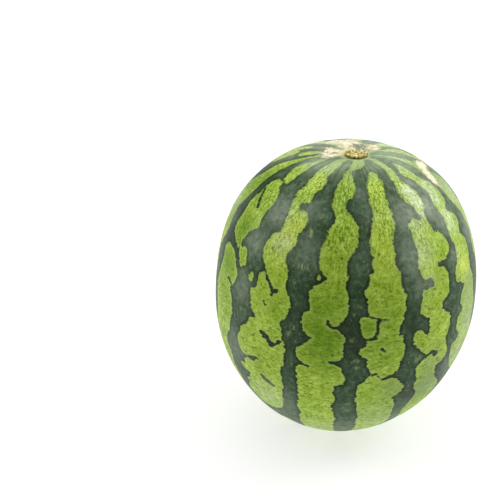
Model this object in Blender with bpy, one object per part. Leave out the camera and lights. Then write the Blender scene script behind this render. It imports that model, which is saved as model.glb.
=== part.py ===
"""A round-oval striped watermelon, picked, standing on its blossom end.

The fruit is one grown body: a blunt oval with faint ribs that lean a little, a shallow basin at the
stem end, and a small flat spot to rest on with the blossom scar's dimple in it. The dried stub of the
stem, which broke away at the crown, is a second body seated in that basin.

Metres, +Z up. The origin is on the resting surface, under the middle of the fruit's box. The fruit's
longitudes start at -Y, its front, and turn towards +X.
"""

import math
import random

import bmesh
import bpy
from mathutils import Vector, noise

# The fruit's body. Its heights are counted from the widest ring.
GIRTH_RADIUS = 0.120
CROWN_HEIGHT = 0.1377
BASE_DEPTH = 0.1378
CROWN_FULLNESS = 2.36  # the power of the oval's curve: 2 is an ellipse, and more is blunter
BASE_FULLNESS = 1.966
LEAN = 0.0242  # sideways travel of the middle line for each metre of height
BEND = -0.0123  # the same line's curve, as a share of the squared height over the crown's

# The stem end. Its rings gather round the stem, a little off the body's middle line.
STEM_OFFSET = Vector((0.0050, -0.0008))
STEM_GATHER_RADIUS = 0.025
STEM_FLATNESS = 0.20  # the rings at the stem are this much shorter from front to back
BASIN_DEPTH = 0.0024
BASIN_RADIUS = 0.019
SEAT_RADIUS = 0.0090  # the socket of torn flesh that the stub is rooted in
SEAT_DEPTH = 0.0013
SEAT_GAP = 0.0003

# The resting end.
REST_RADIUS = 0.025
BLOSSOM_SCAR_RADIUS = 0.0065
BLOSSOM_SCAR_DEPTH = 0.0012

# Faint ribs, one to each pair of stripes, and the pucker round the stem.
RIBS = 14
RIB_HEIGHT = 0.00025
RIB_RISE = 0.084  # the ribs grow to their full height over this much radius
PUCKER_HEIGHT = 0.0005
PUCKER_REACH = 0.030
PUCKER_TURN = 1.3  # radians of one rib that the pucker is turned by

# The stem's stub: a low ragged button of cork with its rim torn up and its middle sunk.
STUB_RADIUS = 0.0104
STUB_NECK_RADIUS = SEAT_RADIUS - SEAT_GAP
STUB_RIM_HEIGHT = 0.0026
STUB_WAVES = 3  # broad waves of the torn rim, across the stub
STUB_WAVE_SHARE = 0.19  # how far the waves carry the rim, as a share of its own size
STUB_TEAR_SHARE = 0.08  # the same for the small tears on them
STUB_SEED = 7

SEGMENTS = 70  # five to a rib
CROWN_RINGS = 22
BASE_RINGS = 21
STUB_SEGMENTS = 40


def clear_scene():
    """Removes what the file holds, so that the part starts empty."""
    for thing in list(bpy.data.objects):
        bpy.data.objects.remove(thing, do_unlink=True)


def plain_material(name, colour, roughness):
    """A non-metal finish: linear colour and roughness."""
    material = bpy.data.materials.new(name)
    material.use_nodes = True
    shader = material.node_tree.nodes["Principled BSDF"]
    shader.inputs["Base Color"].default_value = (*colour, 1.0)
    shader.inputs["Roughness"].default_value = roughness
    shader.inputs["Metallic"].default_value = 0.0
    return material


def smooth_step(low, high, value):
    """0 below low, 1 above high, with a soft turn at both."""
    share = min(1.0, max(0.0, (value - low) / (high - low)))
    return share * share * (3 - 2 * share)


def oval_curve(angle, height, fullness):
    """A point (radius, height) of a blunt quarter oval, from the widest ring at 0 to the pole."""
    across = max(0.0, math.cos(angle)) ** (2 / fullness)
    along = math.sin(angle) ** (2 / fullness)
    return GIRTH_RADIUS * across, height * along


def rest_depth():
    """How far below the widest ring the flat spot cuts the base."""
    share = (REST_RADIUS / GIRTH_RADIUS) ** BASE_FULLNESS
    return BASE_DEPTH * (1 - share) ** (1 / BASE_FULLNESS)


def crown_profile():
    """(radius, height) of the rings from the seat's rim down to the widest ring."""
    reach = math.acos((SEAT_RADIUS / GIRTH_RADIUS) ** (CROWN_FULLNESS / 2))
    steps = range(CROWN_RINGS, -1, -1)
    return [oval_curve(reach * step / CROWN_RINGS, CROWN_HEIGHT, CROWN_FULLNESS) for step in steps]


def base_profile():
    """(radius, height) of the rings from below the widest ring to the flat spot's rim."""
    reach = math.acos((REST_RADIUS / GIRTH_RADIUS) ** (BASE_FULLNESS / 2))
    steps = range(1, BASE_RINGS + 1)
    rings = [oval_curve(reach * step / BASE_RINGS, -BASE_DEPTH, BASE_FULLNESS) for step in steps]
    rings[-1] = (REST_RADIUS, -rest_depth())
    return rings


def gathering(radius, height):
    """How far a ring belongs to the stem end: 1 at the stem itself, 0 on the body."""
    return math.exp(-((radius / STEM_GATHER_RADIUS) ** 2)) if height > 0 else 0.0


def middle_line(radius, height):
    """Where the body's middle line stands at a ring, in x and y."""
    sway = LEAN * height + BEND * height * height / CROWN_HEIGHT
    return Vector((sway, 0.0)) + STEM_OFFSET * gathering(radius, height)


def rind_swell(radius, height, longitude):
    """How far the ribs and the pucker lift the rind at a point."""
    body = smooth_step(0.0, RIB_RISE, radius - REST_RADIUS)
    rib = RIB_HEIGHT * body * math.cos(RIBS * longitude)
    near_stem = math.exp(-radius / PUCKER_REACH) if height > 0 else 0.0
    pucker = PUCKER_HEIGHT * near_stem * smooth_step(SEAT_RADIUS, 2 * SEAT_RADIUS, radius)
    return rib + pucker * math.cos(RIBS * longitude + PUCKER_TURN)


def basin_drop(radius, height):
    """How far the stem end is sunk at a ring."""
    if height < 0:
        return 0.0
    return BASIN_DEPTH * math.exp(-((radius / BASIN_RADIUS) ** 2))


def ring_points(radius, height, swelling=True):
    """The points of one ring of the fruit, in the body's own heights."""
    centre = middle_line(radius, height)
    depth_share = 1 - STEM_FLATNESS * gathering(radius, height)
    level = height - basin_drop(radius, height)
    points = []
    for segment in range(SEGMENTS):
        longitude = 2 * math.pi * segment / SEGMENTS
        out = radius + (rind_swell(radius, height, longitude) if swelling else 0.0)
        across = centre.x + out * math.sin(longitude)
        along = centre.y - out * math.cos(longitude) * depth_share
        points.append(Vector((across, along, level)))
    return points


def fruit_rings():
    """All rings of the fruit from the middle of the seat to the dimple of the blossom scar."""
    crown = crown_profile()
    rim = ring_points(*crown[0], swelling=False)
    seat = [point - Vector((0, 0, SEAT_DEPTH)) for point in rim]
    rings = [shrunk(seat, 0.5), seat, rim]
    rings += [ring_points(radius, height) for radius, height in crown[1:] + base_profile()]
    floor = -rest_depth()
    for share in (0.6, 0.3):
        radius = BLOSSOM_SCAR_RADIUS + (REST_RADIUS - BLOSSOM_SCAR_RADIUS) * share
        rings.append(ring_points(radius, floor, False))
    scar = ring_points(BLOSSOM_SCAR_RADIUS, floor, False)
    rings.append(scar)
    rings.append([point + Vector((0, 0, BLOSSOM_SCAR_DEPTH)) for point in shrunk(scar, 0.6)])
    return rings


def shrunk(ring, share):
    """A smaller copy of a ring about its own middle."""
    middle = sum(ring, Vector()) / len(ring)
    return [middle + (point - middle) * share for point in ring]


def skin_rings(mesh, rings):
    """Joins rings of points, from the top ring to the bottom one, into one closed body."""
    loops = [[mesh.verts.new(point) for point in ring] for ring in rings]
    for upper, lower in zip(loops, loops[1:]):
        for here in range(len(upper)):
            after = (here + 1) % len(upper)
            mesh.faces.new((upper[here], lower[here], lower[after], upper[after]))
    for loop, ring, flip in ((loops[0], rings[0], False), (loops[-1], rings[-1], True)):
        pole = mesh.verts.new(sum(ring, Vector()) / len(ring))
        for here in range(len(loop)):
            edge = (loop[here], loop[(here + 1) % len(loop)])
            mesh.faces.new((pole, *(reversed(edge) if flip else edge)))
    bmesh.ops.recalc_face_normals(mesh, faces=mesh.faces)


def finished_object(name, mesh, material, crease_degrees):
    """Turns a bmesh into a smooth-shaded object of the scene."""
    data = bpy.data.meshes.new(name)
    mesh.to_mesh(data)
    mesh.free()
    data.materials.append(material)
    data.shade_smooth()
    data.set_sharp_from_angle(angle=math.radians(crease_degrees))
    made = bpy.data.objects.new(name, data)
    bpy.context.scene.collection.objects.link(made)
    return made


def make_fruit():
    """The whole grown body, in its own heights. Returns the object and its seat's middle."""
    rings = fruit_rings()
    seat = sum(rings[1], Vector()) / SEGMENTS
    mesh = bmesh.new()
    skin_rings(mesh, rings)
    green = plain_material("Waxy green rind", (0.10, 0.22, 0.045), 0.45)
    return finished_object("fruit", mesh, green, 35), seat


def torn_rim():
    """How far the stub's rim strays at each segment, as a share of its size."""
    draw = random.Random(STUB_SEED)
    strays = []
    for segment in range(STUB_SEGMENTS):
        turn = 2 * math.pi * segment / STUB_SEGMENTS
        wave = noise.noise(STUB_WAVES * Vector((math.cos(turn), math.sin(turn), 0)))
        strays.append(STUB_WAVE_SHARE * wave + STUB_TEAR_SHARE * draw.uniform(-1, 1))
    return strays


def stub_rings():
    """The stub's rings from the sunk middle, over the torn rim and down the neck to its root."""
    depth_share = 1 - STEM_FLATNESS * gathering(SEAT_RADIUS, CROWN_HEIGHT)
    rim = SEAT_DEPTH + STUB_RIM_HEIGHT
    # radius, height above the seat, and how much of the rim's tearing the ring takes
    profile = (
        (0.20 * STUB_RADIUS, 0.72 * rim, 0.2),
        (0.42 * STUB_RADIUS, 0.60 * rim, 0.4),
        (0.64 * STUB_RADIUS, 0.70 * rim, 0.6),
        (0.82 * STUB_RADIUS, 0.95 * rim, 0.9),
        (0.94 * STUB_RADIUS, 1.00 * rim, 1.0),
        (1.00 * STUB_RADIUS, 0.80 * rim, 1.0),
        (0.95 * STUB_RADIUS, 0.60 * rim, 0.5),
        (STUB_NECK_RADIUS, 0.42 * rim, 0.0),
        (STUB_NECK_RADIUS, SEAT_GAP, 0.0),
        (0.50 * STUB_NECK_RADIUS, SEAT_GAP, 0.0),
    )
    strays = torn_rim()
    rings = []
    for radius, height, torn in profile:
        ring = []
        for segment, stray in enumerate(strays):
            turn = 2 * math.pi * segment / STUB_SEGMENTS
            out = radius * (1 + torn * stray / 2)
            up = height + rim * torn * stray
            ring.append(Vector((out * math.sin(turn), -out * math.cos(turn) * depth_share, up)))
        rings.append(ring)
    return rings


def make_stub(seat):
    """The corky stub, rooted over the middle of the fruit's seat."""
    mesh = bmesh.new()
    skin_rings(mesh, stub_rings())
    cork = plain_material("Dried stem cork", (0.42, 0.29, 0.11), 0.85)
    stub = finished_object("stem_stub", mesh, cork, 60)
    stub.location = seat
    return stub


def stand_on_origin(fruit, others):
    """Moves everything so that the fruit's flat spot is at zero height and its box is centred."""
    points = [vertex.co for vertex in fruit.data.vertices]
    low = Vector(map(min, *points))
    high = Vector(map(max, *points))
    shift = Vector((-(low.x + high.x) / 2, -(low.y + high.y) / 2, -low.z))
    for thing in (fruit, *others):
        thing.location += shift


def main():
    clear_scene()
    fruit, seat = make_fruit()
    stub = make_stub(seat)
    stand_on_origin(fruit, [stub])


main()
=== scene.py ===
"""The looks of a striped watermelon standing on its blossom end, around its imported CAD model.

Metres, +Z up. Distances on the rind are counted in millimetres from the stem, along the rind, and its
longitudes in degrees from -Y, the side that the photograph shows, turning towards +X.
"""

import math
import random

import bpy
import numpy as np
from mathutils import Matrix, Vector, noise


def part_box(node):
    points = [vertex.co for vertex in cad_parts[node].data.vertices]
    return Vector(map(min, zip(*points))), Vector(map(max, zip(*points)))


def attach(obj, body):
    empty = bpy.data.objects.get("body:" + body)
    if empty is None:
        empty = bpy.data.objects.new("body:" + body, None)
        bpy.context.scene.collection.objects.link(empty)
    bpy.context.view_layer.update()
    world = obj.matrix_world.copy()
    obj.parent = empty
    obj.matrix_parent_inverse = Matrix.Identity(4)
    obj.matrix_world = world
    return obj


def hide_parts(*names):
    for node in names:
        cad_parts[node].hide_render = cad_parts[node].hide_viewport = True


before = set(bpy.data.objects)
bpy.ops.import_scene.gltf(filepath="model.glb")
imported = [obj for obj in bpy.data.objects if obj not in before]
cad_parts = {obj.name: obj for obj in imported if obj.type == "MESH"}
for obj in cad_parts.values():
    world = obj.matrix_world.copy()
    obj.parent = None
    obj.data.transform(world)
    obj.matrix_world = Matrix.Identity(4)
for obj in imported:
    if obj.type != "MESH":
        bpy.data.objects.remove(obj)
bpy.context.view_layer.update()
fruit_low, fruit_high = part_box("fruit")
stub_low, stub_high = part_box("stem_stub")

# The fruit's body, with the same values as its solid. Heights are counted from the widest ring.
GIRTH_RADIUS = 0.120
CROWN_HEIGHT = 0.1377
BASE_DEPTH = 0.1378
CROWN_FULLNESS = 2.36
BASE_FULLNESS = 1.966
LEAN = 0.0242
BEND = -0.0123
STEM_OFFSET = (0.0050, -0.0008)
STEM_GATHER_RADIUS = 0.025
STEM_FLATNESS = 0.20
BASIN_DEPTH = 0.0024
BASIN_RADIUS = 0.019
SEAT_RADIUS = 0.0090
SEAT_DEPTH = 0.0013
REST_RADIUS = 0.025
BLOSSOM_SCAR_RADIUS = 0.0065
BLOSSOM_SCAR_DEPTH = 0.0012
RIBS = 14
RIB_HEIGHT = 0.00025
RIB_RISE = 0.084
PUCKER_HEIGHT = 0.0005
PUCKER_REACH = 0.030
PUCKER_TURN = 1.3

# The rind's mesh: about 1.7 mm between points at the widest ring.
RIND_SEGMENTS = 448
RIND_RINGS = 220
MIDDLE_CLOSENESS = 0.2  # the rings stand this much closer at the middle, and wider at the ends

# The photograph's camera: its lens, and where the widest ring's middle stands in its frame.
LENS_MM = 100
SENSOR_MM = 36
FRAME_PIXELS = 500
CAMERA_PITCH = math.radians(28)
RING_DISTANCE = 1.292
RING_PIXEL = (344.4, 288.7)


def linear(hex_colour):
    """An sRGB hex colour as linear light, opaque."""
    channels = [int(hex_colour[start : start + 2], 16) / 255 for start in (1, 3, 5)]
    light = [c / 12.92 if c <= 0.04045 else ((c + 0.055) / 1.055) ** 2.4 for c in channels]
    return (*light, 1.0)


def new_material(name):
    """An empty node material, and the function that adds nodes to it."""
    material = bpy.data.materials.new(name)
    material.use_nodes = True
    tree = material.node_tree
    tree.nodes.clear()

    def add(kind, inputs, stops=(), out=None, **settings):
        """Adds a node and returns one of its outputs: the one that out names, or the first in use.

        Each input is a value or another node's output, and stops fill a colour ramp.
        """
        made = tree.nodes.new("ShaderNode" + kind)
        for setting, value in settings.items():
            setattr(made, setting, value)
        for socket, value in inputs.items():
            if isinstance(value, bpy.types.NodeSocket):
                tree.links.new(value, made.inputs[socket])
            else:
                made.inputs[socket].default_value = value
        for count, (place, colour) in enumerate(stops):
            ramp = made.color_ramp.elements
            stop = ramp[count] if count < 2 else ramp.new(place)
            stop.position = place
            stop.color = linear(colour)
        return made.outputs[out] if out else next((o for o in made.outputs if o.enabled), None)

    return material, add


# Smooth curves and fields on the rind


def smooth_step(low, high, value):
    """0 below low, 1 above high, with a soft turn at both."""
    share = np.clip((value - low) / (high - low), 0, 1)
    return share * share * (3 - 2 * share)


def smooth_loop(points, steps=3):
    """A closed smooth curve through points, as an array with a few steps between each two."""
    ring = np.array(points, float)
    before, after, beyond = (np.roll(ring, shift, axis=0) for shift in (1, -1, -2))
    pieces = []
    for step in range(steps):
        t = step / steps
        pieces.append(
            0.5
            * (
                2 * ring
                + (after - before) * t
                + (2 * before - 5 * ring + 4 * after - beyond) * t**2
                + (3 * ring - before - 3 * after + beyond) * t**3
            )
        )
    return np.stack(pieces, axis=1).reshape(-1, 2)


def squares_off(start, end, turn, down, spread):
    """Squared millimetres from each rind point to a straight stretch between two places.

    turn and down are the points' longitudes and distances from the stem, and spread is the millimetres
    that a degree takes up at each of them.
    """
    run = (end[0] - start[0]) * spread
    rise = end[1] - start[1]
    over = (turn - start[0]) * spread
    up = down - start[1]
    share = np.clip((over * run + up * rise) / np.maximum(run * run + rise * rise, 1e-9), 0, 1)
    return (over - share * run) ** 2 + (up - share * rise) ** 2


def depth_inside(outline, turn, down, spread):
    """Millimetres that each rind point lies inside an outline, negative outside."""
    nearest = np.full(len(turn), np.inf)
    inside = np.zeros(len(turn), bool)
    for start, end in zip(outline, np.roll(outline, -1, axis=0)):
        nearest = np.minimum(nearest, squares_off(start, end, turn, down, spread))
        if start[1] != end[1]:
            crossing = start[0] + (down - start[1]) / (end[1] - start[1]) * (end[0] - start[0])
            inside ^= ((start[1] > down) != (end[1] > down)) & (turn < crossing)
    return np.where(inside, 1, -1) * np.sqrt(nearest)


# The drawn stripes. Each point is (longitude, millimetres from the stem).

# Each light band is its left edge and its right edge, both from the stem downwards.
BAND_FAR_LEFT = (
    [(-71, 24), (-73, 36), (-76, 46), (-75, 54), (-71.5, 61), (-69.5, 66), (-66, 69), (-73, 69.5),
     (-76, 76), (-76, 84), (-75, 89), (-76.5, 96), (-76.5, 104), (-75.6, 113), (-75.6, 123),
     (-74.4, 131), (-72, 134), (-69.7, 136.5), (-66.7, 139), (-67, 142), (-70, 143.5), (-75, 143),
     (-77, 150), (-76, 160), (-77.5, 175), (-79, 188), (-78, 200), (-77, 215), (-79, 230), (-77, 250),
     (-78, 270), (-77, 290), (-79, 310), (-76, 330), (-77, 350), (-74, 370), (-72, 384)],
    [(-67, 24), (-64, 34), (-61, 45), (-60.7, 54), (-60.1, 63), (-61.3, 68), (-64.9, 69), (-64.3, 73.5),
     (-60.1, 78), (-57.7, 84), (-56.8, 90), (-57.7, 97.5), (-57.7, 105), (-56.8, 112), (-58.3, 116),
     (-61, 120), (-62.4, 126), (-64, 132), (-62.2, 137), (-60, 133.8), (-57.7, 135), (-56.5, 141),
     (-55.4, 146), (-56.5, 150), (-58.9, 153), (-61, 152.5), (-61.3, 155), (-59.8, 160), (-60.1, 167.5),
     (-61.9, 173.8), (-64.5, 177), (-61.9, 184), (-60.4, 194), (-60.7, 202.5), (-61.9, 211),
     (-62.5, 219), (-64.9, 226), (-66.5, 236), (-64, 247), (-65, 262), (-63, 278), (-65, 296),
     (-63, 315), (-65, 335), (-63, 355), (-65, 384)],
)
BAND_LEFT = (
    [(-52, 14), (-50, 25), (-48.5, 40), (-45.8, 50), (-46.7, 54), (-44.3, 58.8), (-45.6, 64), (-46.5, 69),
     (-45.8, 74), (-44.6, 77), (-44.9, 81), (-43.1, 86), (-43.1, 93), (-42.2, 97.5), (-41.6, 102.5),
     (-41.9, 107), (-43.4, 109.4), (-45.8, 111.2), (-46.4, 116), (-47.6, 121), (-47.4, 127.5),
     (-46.7, 132.5), (-45.2, 137), (-43.7, 141), (-42.4, 144.8), (-45.2, 147), (-46.2, 150), (-45.8, 155),
     (-45.8, 159), (-46.7, 162), (-48.8, 164), (-49.2, 168), (-48.6, 172.5), (-48, 178), (-46.2, 184),
     (-44.3, 188.8), (-45.8, 191), (-47.9, 193), (-48.3, 197.5), (-49.7, 200), (-51.4, 202.5),
     (-53.2, 207), (-53.8, 212.5), (-55.3, 216), (-55.6, 221), (-54.7, 227), (-52.9, 231),
     (-50.5, 233.8), (-48.2, 232.8), (-46, 230), (-43, 228.6), (-42.6, 231.5), (-45.2, 235),
     (-48.2, 236), (-50.9, 237.5), (-52, 240), (-51.4, 244.5), (-54.1, 245.5), (-55.9, 248.8),
     (-54.1, 252), (-50.5, 253), (-49.7, 256), (-50.5, 260), (-52.6, 263), (-53.8, 266), (-52.9, 270),
     (-54.7, 275), (-55.9, 280), (-55, 287), (-53, 294), (-50, 299), (-46.5, 300)],
    [(-37, 14), (-30, 20), (-27.5, 26), (-29, 32), (-30.5, 40), (-30.5, 45), (-28.1, 50), (-28.4, 55),
     (-29.3, 60), (-31.4, 63), (-32, 69), (-32.3, 74), (-33.8, 76.9), (-36.2, 77), (-37.9, 80), (-37.7, 85),
     (-36.2, 86.2), (-34.4, 84.4), (-32, 84.8), (-29.9, 87.5), (-28.7, 92.5), (-29.3, 98.8), (-30.8, 104),
     (-31.1, 110), (-31.1, 116), (-33.2, 121), (-34.1, 125), (-33.8, 131), (-32.3, 134), (-31.1, 139),
     (-31.1, 145), (-31.4, 150), (-29.9, 156), (-28.1, 162.5), (-27.8, 168), (-28.4, 174), (-29.9, 179),
     (-31.7, 182.5), (-32.2, 187), (-30.8, 191), (-30.4, 196), (-30.5, 201), (-29, 205), (-28.7, 211),
     (-29.3, 219), (-29.2, 225), (-30.5, 230), (-30.8, 236), (-30.8, 242.5), (-30.2, 250), (-30.8, 257.5),
     (-31.4, 265), (-32, 272.5), (-32.9, 280), (-33.5, 286), (-35, 291), (-38, 296), (-42.2, 299)],
)
BAND_MIDDLE = (
    [(-10, 12), (-10, 20), (-8.5, 27), (-10, 31), (-13.5, 35), (-14.2, 42), (-16, 50), (-16.6, 58),
     (-16.5, 68), (-16, 76.5), (-14, 80.3), (-13, 85.5), (-13, 90), (-14, 93), (-15.4, 98), (-15.8, 103),
     (-16.8, 109), (-17.6, 116), (-17.5, 123), (-16.3, 130), (-14.4, 135.3), (-13.2, 138.2), (-15, 141.6),
     (-17.8, 144.4), (-19.6, 149), (-20, 153), (-19.3, 160), (-19.5, 166.5), (-21.2, 169.8), (-22.1, 175),
     (-21.8, 182), (-20.4, 187.5), (-18.7, 190.6), (-17.2, 192.3), (-18.2, 195), (-20.3, 199.8),
     (-22.2, 202.3), (-23.6, 205), (-23.6, 210), (-22.8, 215.5), (-21, 218.4), (-19, 218.9),
     (-21.6, 220.8), (-23.5, 223), (-23.7, 228), (-23.1, 234), (-23.3, 240), (-22.9, 247.5), (-23.1, 255),
     (-23.5, 266), (-24.3, 275), (-24, 282.5), (-23.2, 287.5), (-24.6, 292.5), (-25.5, 302.5),
     (-26.5, 312), (-26.5, 325), (-25, 345), (-24, 365), (-23, 384)],
    [(24, 12), (24, 18), (18, 25), (12, 29), (5, 31), (-2, 32), (-4.2, 36), (-2.2, 41), (-0.2, 49),
     (-0.1, 56), (-1.5, 62.5), (-3.1, 66), (-6.4, 68.8), (-7.4, 73), (-6.8, 76), (-6, 79), (-3.4, 80.6),
     (-2, 84.4), (-0.1, 87.5), (0.8, 92.5), (1.1, 100), (0.8, 107), (-0.7, 112.5), (-2.8, 117.5),
     (-3.7, 121.2), (-4.3, 126.2), (-4, 132.5), (-3.5, 136.2), (-4.3, 140), (-4, 146.2), (-3.4, 150),
     (-2.8, 159), (-3, 165), (-4.3, 172.5), (-6.7, 178), (-8.8, 179.4), (-10.3, 176.2), (-10.8, 172),
     (-11.6, 174.5), (-11.2, 179.4), (-9.4, 181.9), (-7, 182.5), (-5.2, 185.6), (-3.7, 189), (-3.7, 193.8),
     (-4.3, 197.5), (-4.1, 202.5), (-4, 207), (-4.9, 210.6), (-7, 212.8), (-9.4, 213.4), (-9.8, 215.2),
     (-7.9, 216.5), (-5.5, 217.5), (-4.3, 221.2), (-3.7, 226.2), (-2.4, 233.8), (-3.1, 237.5),
     (-4.9, 239.4), (-7, 240.6), (-7, 246), (-7.4, 250), (-6.6, 255), (-6.6, 261), (-7.4, 266),
     (-7.6, 272.5), (-6.6, 280), (-6.4, 286), (-5.2, 292.5), (-6.1, 297.5), (-6.4, 305), (-5.8, 312.5),
     (-6.2, 325), (-5, 345), (-6, 365), (-8, 384)],
)
BAND_RIGHT_OF_MIDDLE = (
    [(22, 36), (17.5, 40), (14, 48), (11.5, 54), (11.2, 60), (10.6, 70), (11.2, 76), (11.1, 80),
     (9.7, 86), (9.1, 91), (8.2, 97.5), (7.3, 103), (7.3, 115), (7.9, 120), (7.3, 125), (8, 130),
     (6.1, 134), (6.1, 139), (5.3, 143), (4.1, 146), (4, 150), (5.2, 157.5), (5.5, 162.5), (5.4, 167),
     (7, 169.4), (9.4, 171.2), (11.2, 173), (14.2, 173.4), (14.2, 175), (11.2, 175.4), (9.9, 179),
     (10, 185), (9.7, 190.6), (8.2, 191.9), (5.8, 192), (5.2, 196.2), (3.8, 200), (2.6, 201.4),
     (2.6, 206), (4.4, 208.2), (5.8, 210), (5.8, 214), (6.3, 219), (7.5, 224), (8.2, 228), (7.3, 230.6),
     (5.8, 235), (3.5, 238), (2.9, 242.5), (3, 250), (3.2, 255), (2.8, 260), (4.1, 265), (3.9, 270),
     (4.4, 275), (5.2, 280), (6.6, 286), (5.8, 291), (5.8, 299), (6.5, 306), (7.5, 316), (7, 330),
     (6, 350), (7, 367), (8, 384)],
    [(28, 38), (29, 44), (28.8, 50), (27.5, 55), (25.5, 61), (24, 65.5), (23.5, 71), (23.4, 80),
     (23.1, 87), (22.5, 93), (21.7, 98.8), (19.9, 104), (18.8, 109), (18.8, 115), (19.5, 119),
     (18.7, 124), (18.7, 130), (20.2, 133), (20.5, 139), (20.5, 145), (20.8, 149), (22.1, 154),
     (21.8, 160), (21.8, 167.5), (20.8, 172), (20.8, 176), (19.3, 181), (18.9, 186), (19.1, 190.3),
     (20.8, 192), (21.3, 197.5), (22.1, 204), (21.8, 210), (21.1, 216), (20.5, 222.5), (19.8, 227),
     (17.8, 230), (15.5, 232), (13.4, 233.8), (13.4, 235.4), (16, 235), (18.4, 234.6), (20.8, 237.5),
     (22.9, 242.5), (24.7, 248.5), (24.1, 255), (21.7, 258.8), (19.6, 261), (21.4, 264.4), (22.6, 270),
     (23.5, 276), (24.1, 284), (25.3, 292.5), (26.5, 302), (27, 311), (26, 325), (24.5, 345), (22, 365),
     (20, 384)],
)
BAND_RIGHT = (
    [(47, 13), (45.5, 25), (45, 38), (40, 49), (39.6, 55), (37.8, 61), (36.3, 67.5), (35.9, 74),
     (38.1, 79), (39.7, 83), (40.2, 89), (42, 93), (39.5, 96), (36.3, 93.2), (32.7, 93.8), (30, 97.5),
     (31, 104), (30.7, 110), (30.8, 117.5), (31, 124), (30, 130), (29.8, 136), (31, 142.5), (33.3, 146),
     (35.7, 145.2), (37, 149), (36.8, 153.5), (33.3, 154.4), (31, 154), (30, 159), (29.8, 165),
     (29, 169), (29.5, 175), (31.9, 180), (33.3, 181.5), (33.7, 187.5), (33.8, 193.5), (33.4, 197.5),
     (31.9, 195.6), (30.4, 192.5), (28.9, 190.6), (26.8, 191), (25.9, 196), (26.2, 202.5), (28, 207),
     (30, 210.6), (31.6, 215.6), (33.9, 218), (35.7, 216), (37, 214.6), (38, 217.5), (40.3, 220),
     (39.7, 223.5), (37.8, 223), (36, 219.8), (33.5, 221), (31, 223), (29.2, 228), (29.2, 234),
     (29.8, 239), (31.2, 245), (30.4, 250), (31.2, 256), (33.3, 262.5), (33.6, 270), (33.3, 277.5),
     (32.1, 285), (31.9, 292.5), (33, 300), (34.5, 308), (35, 322), (34, 340), (35, 360), (36, 384)],
    [(60, 13), (60, 25), (56.5, 38), (50, 50), (48.3, 56), (50, 62.5), (51, 69), (50.6, 79), (48.3, 86),
     (45.2, 92.5), (44.4, 98), (44.8, 104), (45.3, 109.5), (47.7, 111), (50.1, 116), (51.6, 121),
     (51.3, 129), (48.9, 133), (45.9, 136), (42.9, 135), (41, 136.2), (41.3, 139), (44.1, 141),
     (45.9, 146), (46.5, 151), (45.9, 157.5), (45.6, 164), (44.1, 168.8), (41.7, 171), (41.1, 176),
     (42.3, 181), (45, 184), (46.3, 189), (46.2, 196), (45.6, 202.5), (44.4, 207.5), (44.7, 214),
     (45.9, 220), (46.8, 225), (45.9, 231), (43.5, 235), (41.2, 236), (41.4, 242.5), (42.6, 250),
     (45.3, 256), (47.7, 261), (49.5, 267), (50.5, 276), (49, 286), (50, 300), (52, 315), (50, 335),
     (51, 360), (50, 384)],
)
BAND_FAR_RIGHT = (
    [(66, 38), (61.5, 45), (57, 50), (57, 56), (60.2, 62.5), (60.2, 70), (61.1, 75), (60.6, 80),
     (57.8, 86), (56.6, 94), (56.9, 100), (57.8, 105), (56.6, 110), (55.7, 115), (55.4, 122.5),
     (56.3, 130), (55.4, 137.5), (54.4, 143), (52.2, 149), (51.2, 156), (52.4, 161), (55.4, 164.4),
     (57.8, 168), (56, 172.5), (54.5, 177.5), (53.6, 182.5), (55.4, 187), (56, 191), (53.6, 193.8),
     (51.9, 197.5), (51.2, 204), (51.9, 209), (54, 213.2), (53, 217.5), (50.1, 221), (49.2, 229),
     (50.1, 236), (51.9, 244), (54.8, 252.5), (58, 260), (59, 272), (58, 285), (60, 300), (59, 320),
     (60, 345), (61, 384)],
    [(70, 38), (73, 46), (70, 56), (70.4, 69), (72.8, 73), (73, 81), (71.6, 91), (69.8, 96),
     (65.6, 99), (65, 103), (69.2, 108), (69.4, 117), (66.2, 122.5), (66.2, 127.5), (68.6, 132.5),
     (68.6, 141), (67.4, 150), (66.8, 160), (68, 166), (69.2, 175), (69, 186), (70.5, 200), (69, 215),
     (71, 230), (72.5, 245), (71, 260), (74, 275), (73, 290), (75, 310), (74, 335), (73, 360), (70, 384)],
)
BAND_RIGHT_EDGE = (
    [(86, 13), (86, 30), (85, 45), (82, 57), (78.5, 66), (77, 76), (77.8, 86), (76, 96), (77, 106),
     (79.5, 114), (79, 124), (80.5, 134), (77, 143), (75.5, 153), (78, 163), (77, 175), (79, 187),
     (80.5, 196), (78, 208), (79, 220), (81, 232), (80, 246), (81.5, 260), (80, 280), (82, 300),
     (81, 325), (82, 355), (83, 384)],
    [(92, 13), (92, 30), (93, 45), (94, 58), (92, 70), (94, 80), (97, 90), (95, 101), (91, 109),
     (94, 118), (96, 128), (93.5, 139), (91, 148), (93, 158), (97, 168), (95, 180), (92.5, 190),
     (94, 203), (97, 214), (94, 226), (92, 238), (95, 250), (94, 266), (92, 284), (94, 305), (92, 330),
     (94, 355), (93, 384)],
)
BAND_LEFT_EDGE = (
    [(-91, 22), (-92, 40), (-94, 54), (-98, 66), (-97, 78), (-100, 92), (-103, 104), (-101, 117),
     (-98, 128), (-101, 139), (-103, 152), (-100, 166), (-97, 178), (-100, 192), (-102, 206), (-99, 221),
     (-101, 236), (-98, 252), (-100, 270), (-98, 290), (-100, 312), (-98, 340), (-97, 384)],
    [(-87, 22), (-86, 40), (-84.5, 54), (-85, 66), (-84, 80), (-83, 95), (-84.5, 108), (-87, 116),
     (-85, 127), (-83, 140), (-86, 151), (-88, 163), (-85, 176), (-86, 190), (-88, 203), (-86, 218),
     (-85, 234), (-88, 250), (-86, 268), (-87, 290), (-86, 315), (-88, 345), (-88, 384)],
)
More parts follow.
